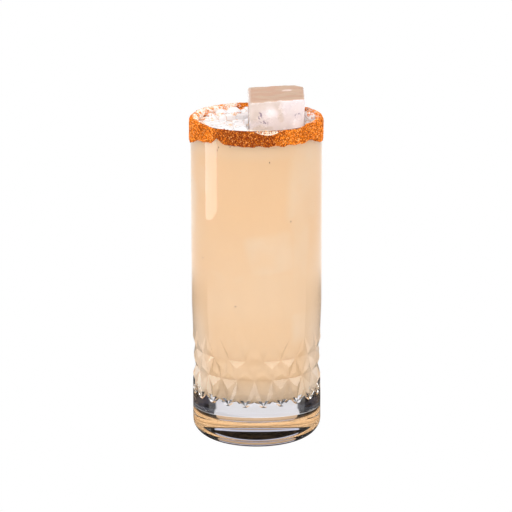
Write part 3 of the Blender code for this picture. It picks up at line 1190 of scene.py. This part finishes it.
def tall_block():
    """The clear block that stands out of the glass: a box with its top corners moved and planed."""
    deselect_all()
    low, high = TALL_BLOCK_BASE
    bpy.ops.mesh.primitive_cube_add(size=1, location=(low + high) / 2 * MM)
    block = rename(bpy.context.object, "ice_tall")
    block.scale = (high - low) * MM
    place_applied(block)
    edit(block)
    across, back = TALL_BLOCK_MIDDLE
    for top in TALL_BLOCK_TOP:
        corner = Vector(top) * MM

        def is_corner(vert, corner=corner):
            same_side = (vert.co.x > across) == (corner.x > across)
            same_end = (vert.co.y > back) == (corner.y > back)
            return vert.co.z > LEVEL and same_side and same_end

        select_in_edit(block, "VERT", is_corner)
        bpy.ops.transform.translate(value=corner - selected_points(block)[0].co)

    def is_back_right(edge):
        return all(vert.co.x > across and vert.co.y > back for vert in edge.verts)

    select_in_edit(block, "EDGE", is_back_right)
    bpy.ops.mesh.bevel(offset=4.5 * MM, segments=1, affect="EDGES")
    bpy.ops.mesh.select_all(action="SELECT")
    bpy.ops.mesh.bevel(offset=0.8 * MM, segments=2, affect="EDGES")
    object_mode()
    changed(block.modifiers.new("even", "REMESH"), mode="VOXEL", voxel_size=0.5 * MM)
    return melted(block)


def slush_sheet(name, cuts):
    """Broken ice that floats beside the tall block, cracked into plates and piled up in places."""
    radius = inner_radius(LEVEL) - SLUSH_GAP
    section = [(SLUSH_STEP * index, SLUSH_HIGH) for index in range(int(radius / SLUSH_STEP))]
    section += [(radius, SLUSH_HIGH - SLUSH_STEP), (radius, SLUSH_LOW), (0, SLUSH_LOW)]
    sheet = spun(name, section, 264)
    for place, normal in cuts:
        edit_all(sheet)
        bpy.ops.mesh.bisect(
            plane_co=Vector((*place, 0)) * MM,
            plane_no=(*normal, 0),
            clear_outer=True,
            use_fill=True,
        )
        object_mode()
    for place, rise, breadth in SLUSH_PILES:
        pull_up(sheet, Vector((*place, 0)) * MM, 4 * MM, LEVEL, rise * MM, breadth * MM)
    texture = changed(
        bpy.data.textures.new("plates", "VORONOI"),
        noise_scale=7 * MM,
        weight_1=-1,
        weight_2=1,
        noise_intensity=2,
        contrast=4,
    )
    displace(sheet, texture, direction="Z", strength=0.9 * MM, mid_level=0.0)
    shade(sheet, 40)
    return sheet


class PALOMA_OT_ice(bpy.types.Operator):
    """Model the blocks of ice that stand out of the drink, and the broken ice between them"""

    bl_idname = "paloma.ice"
    bl_label = "Ice"
    bl_options = {"REGISTER", "UNDO"}

    def execute(self, context):
        clear = tall_ice_material()
        top = tall_top_material()
        frosted = frosted_material()
        for node in CLEAR_ICE + FROSTED_ICE:
            block = ice_piece(node)
            dress(block, clear if node in CLEAR_ICE else frosted, [node])
            if node in CLEAR_ICE:
                dress_top(block, top, 0.8, LEVEL)
        for name, cuts in SLUSH_SHEETS:
            dress(slush_sheet(name, cuts), frosted)
        return {"FINISHED"}


def drink_section():
    """The drink's section. It reaches just into the wall, and climbs it a little at the top."""
    section = [(0, LEVEL), (16 * MM, LEVEL)]
    for step in range(7):
        share = step / 6
        radius = inner_radius(LEVEL) - MENISCUS_WIDTH * (1 - share)
        section.append((radius, LEVEL + MENISCUS_RISE * share ** 2))
    section.append((inner_radius(LEVEL) + REACH, LEVEL + MENISCUS_RISE))
    for radius, height in inner_section():
        section.append((radius + REACH if radius else 0, height - REACH))
    return section


class PALOMA_OT_drink(bpy.types.Operator):
    """Model the drink up to its level, with hollows round the ice"""

    bl_idname = "paloma.drink"
    bl_label = "Drink"
    bl_options = {"REGISTER", "UNDO"}

    def execute(self, context):
        drink = spun("drink_fill", drink_section(), 192)
        for node in CLEAR_ICE + FROSTED_ICE:
            room = ice_piece(node)
            edit_all(room)
            bpy.ops.transform.shrink_fatten(value=-REACH)
            object_mode()
            cut(drink, room, "DIFFERENCE")
        shade(drink, 35)
        dress(drink, drink_material(), ["drink"])
        dress_top(drink, drink_surface_material(), 0.6, LEVEL - 0.2 * MM)
        return {"FINISHED"}


def grain_tree(breadth, density, seed):
    """Geometry nodes that stick salt grains on a mesh, each with its own size, turn and tone."""
    tree = bpy.data.node_groups.new("Salt grains", "GeometryNodeTree")
    for in_out in ("INPUT", "OUTPUT"):
        tree.interface.new_socket("Geometry", in_out=in_out, socket_type="NodeSocketGeometry")
    start = add_node(tree, "NodeGroupInput")
    drawn = {"Mesh": start.outputs[0], "Density": density, "Seed": seed}
    scatter = add_node(tree, "GeometryNodeDistributePointsOnFaces", drawn)
    grain = add_node(tree, "GeometryNodeMeshCube", {"Size": (breadth, breadth, breadth * 0.8)})
    sizes = {0: (0.4, 0.4, 0.4), 1: (1.2, 1.2, 1.2)}
    size = add_node(tree, "FunctionNodeRandomValue", sizes, data_type="FLOAT_VECTOR")
    turns = {1: (math.tau, math.tau, math.tau), "Seed": 2}
    turn = add_node(tree, "FunctionNodeRandomValue", turns, data_type="FLOAT_VECTOR")
    tone = add_node(tree, "FunctionNodeRandomValue", {"Seed": 3}, data_type="FLOAT")
    placed = {
        "Points": scatter.outputs["Points"],
        "Instance": grain.outputs["Mesh"],
        "Scale": size.outputs[0],
        "Rotation": turn.outputs[0],
    }
    instance = add_node(tree, "GeometryNodeInstanceOnPoints", placed)
    toned = {"Geometry": instance.outputs[0], "Name": "tone", "Value": tone.outputs[1]}
    kind = "GeometryNodeStoreNamedAttribute"
    store = add_node(tree, kind, toned, data_type="FLOAT", domain="INSTANCE")
    realize = add_node(tree, "GeometryNodeRealizeInstances", {0: store.outputs[0]})
    add_node(tree, "NodeGroupOutput", {0: realize.outputs[0]})
    return tree


def in_fixed_order(piece):
    """Sorts a mesh's points and faces, because a spun or cut mesh has its own order on each run.

    The same draw then puts a grain on the same place each time.
    """
    mesh = piece.data
    places = [tuple(round(value, 8) for value in vert.co) for vert in mesh.vertices]
    order = sorted(range(len(places)), key=places.__getitem__)
    rank = {old: new for new, old in enumerate(order)}
    faces = []
    for face in mesh.polygons:
        corners = [rank[index] for index in face.vertices]
        first = corners.index(min(corners))
        faces.append(corners[first:] + corners[:first])
    piece.data = bpy.data.meshes.new(piece.name)
    piece.data.from_pydata([places[index] for index in order], [], sorted(faces))
    bpy.data.meshes.remove(mesh)


def salted(source, name, keep, density, seed):
    """Loose grains of chilli salt on the faces of a piece that pass a test."""
    grains = own_copy(source, name)
    edit(grains)
    select_in_edit(grains, "FACE", lambda face: not keep(face))
    bpy.ops.mesh.delete(type="FACE")
    object_mode()
    if not grains.data.polygons:
        return grains
    in_fixed_order(grains)
    scatter = grains.modifiers.new("grains", "NODES")
    scatter.node_group = grain_tree(settings("crust").grain, density, seed)
    apply_modifiers(grains)
    bpy.ops.object.shade_flat()
    return grains


def fallen_on(face):
    """If chilli salt fell on this face of the floating ice."""
    middle = face.calc_center_median() / MM
    if face.normal.z < 0.3:
        return False
    ragged = 0.75 + 0.9 * noise_at(middle * 0.7)
    for x, y, breadth in CRUMB_PATCHES:
        if math.hypot(middle.x - x, middle.y - y) < breadth * ragged:
            return True
    return False


def on_bare_lip(face):
    """If a face is on the outer side of the lip, where the crust is thin in front."""
    middle = face.calc_center_median()
    start, end = (math.radians(angle) for angle in BARE_LIP)
    outside = away_from_axis(middle) > OUTER_RADIUS - 0.9 * LIP_RADIUS
    return outside and middle.z > HEIGHT - LIP_RADIUS and start < front_angle(middle) < end


def faces_wall(face):
    """If a face of the crust lies against the glass, where no grain shows."""
    middle = face.calc_center_median()
    radial = Vector((middle.x, middle.y, 0)).normalized()
    away = radial * (away_from_axis(middle) - (OUTER_RADIUS - LIP_RADIUS))
    away.z = max(0.0, middle.z - (HEIGHT - LIP_RADIUS))
    return face.normal.dot(away) <= 0


class PALOMA_OT_crust(bpy.types.Operator):
    """Model the chilli-salt rim: a lumpy bed and the loose grains stuck on it"""

    bl_idname = "paloma.crust"
    bl_label = "Chilli-salt rim"
    bl_options = {"REGISTER", "UNDO"}

    def execute(self, context):
        crust = settings("crust")
        bed = merged_copy("chilli_salt_rim", "chilli_salt_bed")
        make_active(bed)
        widen_selected(BED_SHARE, 0)
        place_applied(bed)
        breadth = math.radians(CRUST_LIFT_STEP) * OUTER_RADIUS
        for index, rise in enumerate(CRUST_LIFTS):
            edge = round_glass(CRUST_LIFT_START + CRUST_LIFT_STEP * index, OUTER_RADIUS + 0.4 * MM)
            pull_up(bed, edge, 1.3 * MM, HEIGHT - 3 * MM, rise * MM, breadth)
        refine(bed, "CATMULL_CLARK")
        texture = changed(bpy.data.textures.new("salt_lumps", "CLOUDS"), noise_scale=0.8 * MM)
        displace(bed, texture, strength=0.25 * MM)
        shade(bed)
        dress(bed, crust_material("chilli_salt", False), ["chilli_salt_rim"])
        per_grain = crust_material("chilli_salt_grain", True)
        grains = salted(
            bed, "chilli_salt_grains", lambda face: not faces_wall(face), crust.density, crust.seed
        )
        dress(grains, per_grain)
        crumbs = [
            salted(source, "chilli_salt_crumbs", fallen_on, crust.density, CRUMB_SEED)
            for source in bpy.data.objects
            if source.type == "MESH" and source.data.materials.get("frosted_ice")
        ]
        tumbler = bpy.data.objects["tumbler"]
        density = BARE_LIP_GRAINS * crust.density
        crumbs.append(salted(tumbler, "lip_crumbs", on_bare_lip, density, LIP_SEED))
        dress(joined(crumbs, "chilli_salt_crumbs"), per_grain)
        return {"FINISHED"}


def many(name, places, add_one):
    """Adds a small body at each place, and makes them one smooth piece."""
    bodies = []
    for place in places:
        deselect_all()
        add_one(*place)
        bodies.append(bpy.context.object)
    piece = joined(bodies, name)
    place_applied(piece)
    shade(piece)
    return piece


def add_bead(x, y, radius):
    """A bead of foam that floats with less than half of it in the drink."""
    bpy.ops.mesh.primitive_uv_sphere_add(
        segments=16,
        ring_count=10,
        radius=radius * MM,
        location=(x * MM, y * MM, LEVEL + radius * 0.3 * MM),
    )


def add_fleck(angle, height):
    """A fleck against the wall. Its place also gives its turn, so that no two lie alike."""
    bpy.ops.mesh.primitive_ico_sphere_add(
        subdivisions=2,
        radius=0.3 * MM,
        location=round_glass(angle, inner_radius(height * MM) + REACH, height * MM),
        rotation=(angle, height, 0),
        scale=(1.5, 0.7, 0.8),
    )


class PALOMA_OT_beads(bpy.types.Operator):
    """Model the beads of foam in front of the tall block"""

    bl_idname = "paloma.beads"
    bl_label = "Foam beads"
    bl_options = {"REGISTER", "UNDO"}

    def execute(self, context):
        dress(many("foam_beads", FOAM_BEADS, add_bead), bubble_material())
        return {"FINISHED"}


class PALOMA_OT_flecks(bpy.types.Operator):
    """Model the few chilli flecks that float against the wall of the glass"""

    bl_idname = "paloma.flecks"
    bl_label = "Chilli flecks"
    bl_options = {"REGISTER", "UNDO"}

    def execute(self, context):
        colour = {"Base Color": (0.25, 0.07, 0.02), "Roughness": 0.7}
        material = finished(new_material("chilli_fleck")[0], colour)
        dress(many("chilli_flecks", CHILLI_FLECKS, add_fleck), material)
        return {"FINISHED"}


def stage_light(piece):
    """A wall or light of the studio. It shows in glass and lights the glass, and hides nothing."""
    piece.visible_camera = False


def ring_wall(name, radius, height, keep):
    """Part of an upright ring round the glass: the faces whose middle passes the test are kept."""
    deselect_all()
    bpy.ops.mesh.primitive_cylinder_add(
        vertices=90, radius=radius, depth=height, end_fill_type="NOTHING",
        location=(0, 0, height / 2),
    )
    wall = rename(bpy.context.object, name)
    place_applied(wall)
    edit(wall)
    select_in_edit(wall, "FACE", lambda face: not keep(face.calc_center_median()))
    bpy.ops.mesh.delete(type="FACE")
    object_mode()
    return wall


class PALOMA_OT_stage(bpy.types.Operator):
    """Add the camera, the pale floor, the dark walls behind and the soft studio light"""

    bl_idname = "paloma.stage"
    bl_label = "Stage"
    bl_options = {"REGISTER", "UNDO"}

    def execute(self, context):
        self.add_camera(context)
        self.add_floor()
        self.add_world(context)
        self.add_backdrop()
        self.add_light_walls()
        context.scene.view_settings.view_transform = "Standard"
        return {"FINISHED"}

    def add_camera(self, context):
        stage = settings("stage")
        deselect_all()
        bpy.ops.object.camera_add(
            location=(-0.25 * MM, -stage.distance, stage.camera_height),
            rotation=(math.pi / 2 - stage.pitch, 0, 0),
        )
        bpy.ops.transform.rotate(value=stage.roll, orient_axis="Z", orient_type="LOCAL")
        camera = context.object
        camera.name = "camera"
        camera.data.lens = stage.lens
        camera.data.sensor_width = 36
        camera.data.clip_end = 50
        context.scene.camera = camera

    def add_floor(self):
        deselect_all()
        bpy.ops.mesh.primitive_circle_add(
            vertices=96, radius=4, fill_type="NGON", location=(0, 0, -0.05 * MM)
        )
        floor = rename(bpy.context.object, "floor")
        floor.data.materials.append(floor_material())

    def add_world(self, context):
        world = bpy.data.worlds.new("studio")
        context.scene.world = world
        world.use_nodes = True
        background = world.node_tree.nodes["Background"]
        light = {"Color": (1, 1, 1), "Strength": settings("stage").world}
        feed(world.node_tree, background, light)

    def add_backdrop(self):
        """A dark wall behind the glass, with a lit opening that shows through its base."""
        stage = settings("stage")
        wall = ring_wall(
            "backdrop", BACKDROP_RADIUS, 1.6, lambda point: from_behind(point) < BACKDROP_SPREAD
        )
        cloth = emission_material("black_cloth", (0.003, 0.002, 0.002), stage.fill)
        wall.data.materials.append(cloth)
        heights = []
        for name, top, colour in OPENING_BANDS:
            heights.append(BACKDROP_RADIUS * math.tan(math.radians(top)))
            edit_all(wall)
            bpy.ops.mesh.bisect(plane_co=(0, 0, heights[-1]), plane_no=(0, 0, 1))
            object_mode()
            wall.data.materials.append(emission_material(name, colour, stage.low_fill))
        for face in wall.data.polygons:
            if face.center.z < heights[-1] and from_behind(face.center) < stage.opening_width / 2:
                face.material_index = 1 + sum(face.center.z > height for height in heights)
        stage_light(wall)

    def add_light_walls(self):
        """A wall of light behind the camera, a lit window on each side and a light above."""
        stage = settings("stage")
        front = ring_wall(
            "front_light",
            FRONT_WALL_RADIUS,
            1.1,
            lambda point: from_behind(point) > FRONT_WALL_START,
        )
        front.data.materials.append(emission_material("dim_wall", (0.8, 0.8, 0.8)))
        front.data.materials.append(emission_material("softbox", [stage.front] * 3))
        start, end = SOFTBOX_ANGLES
        for face in front.data.polygons:
            from_front = math.degrees(math.pi - from_behind(face.center))
            face.material_index = int(start < from_front < end)
        stage_light(front)
        window = emission_material("side_window", [stage.window] * 3, stage.side_fill)
        for name, side, low, high in WINDOWS:
            deselect_all()
            bpy.ops.mesh.primitive_plane_add(size=1, rotation=(math.pi / 2, 0, math.pi / 2))
            panel = rename(bpy.context.object, name + "_window")
            panel.scale = (WINDOW_WIDTH, high - low, 1)
            panel.rotation_euler.z += WINDOW_TURN * side
            panel.rotation_euler.y = WINDOW_LEAN * side
            panel.location = (WINDOW_ASIDE * side, -WINDOW_FORWARD, (low + high) / 2)
            panel.data.materials.append(window)
            stage_light(panel)
        deselect_all()
        bpy.ops.mesh.primitive_plane_add(size=0.9, location=(0, 0.05, 1.1))
        top = rename(bpy.context.object, "top_light")
        top.data.materials.append(emission_material("top_light", [stage.top] * 3))
        stage_light(top)


class PALOMA_PT_panel(bpy.types.Panel):
    """The steps and settings of the paloma"""

    bl_label = "Paloma"
    bl_idname = "PALOMA_PT_panel"
    bl_space_type = "VIEW_3D"
    bl_region_type = "UI"
    bl_category = "Paloma"

    def draw(self, context):
        for operator in OPERATORS:
            self.layout.operator(operator.bl_idname)
        for name in SETTINGS:
            box = self.layout.box()
            group = settings(name)
            for prop in group.bl_rna.properties:
                if not prop.is_readonly and prop.identifier != "name":
                    box.prop(group, prop.identifier)


SETTINGS = {
    "glass": PalomaGlassSettings,
    "drink": PalomaDrinkSettings,
    "ice": PalomaIceSettings,
    "crust": PalomaCrustSettings,
    "stage": PalomaStageSettings,
}
OPERATORS = (
    PALOMA_OT_glass,
    PALOMA_OT_drink,
    PALOMA_OT_ice,
    PALOMA_OT_crust,
    PALOMA_OT_beads,
    PALOMA_OT_flecks,
    PALOMA_OT_stage,
)


def register():
    for name, group in SETTINGS.items():
        bpy.utils.register_class(group)
        setattr(bpy.types.Scene, "paloma_" + name, PointerProperty(type=group))
    for operator in OPERATORS:
        bpy.utils.register_class(operator)
    bpy.utils.register_class(PALOMA_PT_panel)


def unregister():
    bpy.utils.unregister_class(PALOMA_PT_panel)
    for operator in reversed(OPERATORS):
        bpy.utils.unregister_class(operator)
    for name, group in SETTINGS.items():
        delattr(bpy.types.Scene, "paloma_" + name)
        bpy.utils.unregister_class(group)


def main():
    register()
    bpy.ops.paloma.glass()
    bpy.ops.paloma.drink()
    bpy.ops.paloma.ice()
    bpy.ops.paloma.crust()
    bpy.ops.paloma.beads()
    bpy.ops.paloma.flecks()
    bpy.ops.paloma.stage()


if __name__ == "__main__":
    main()
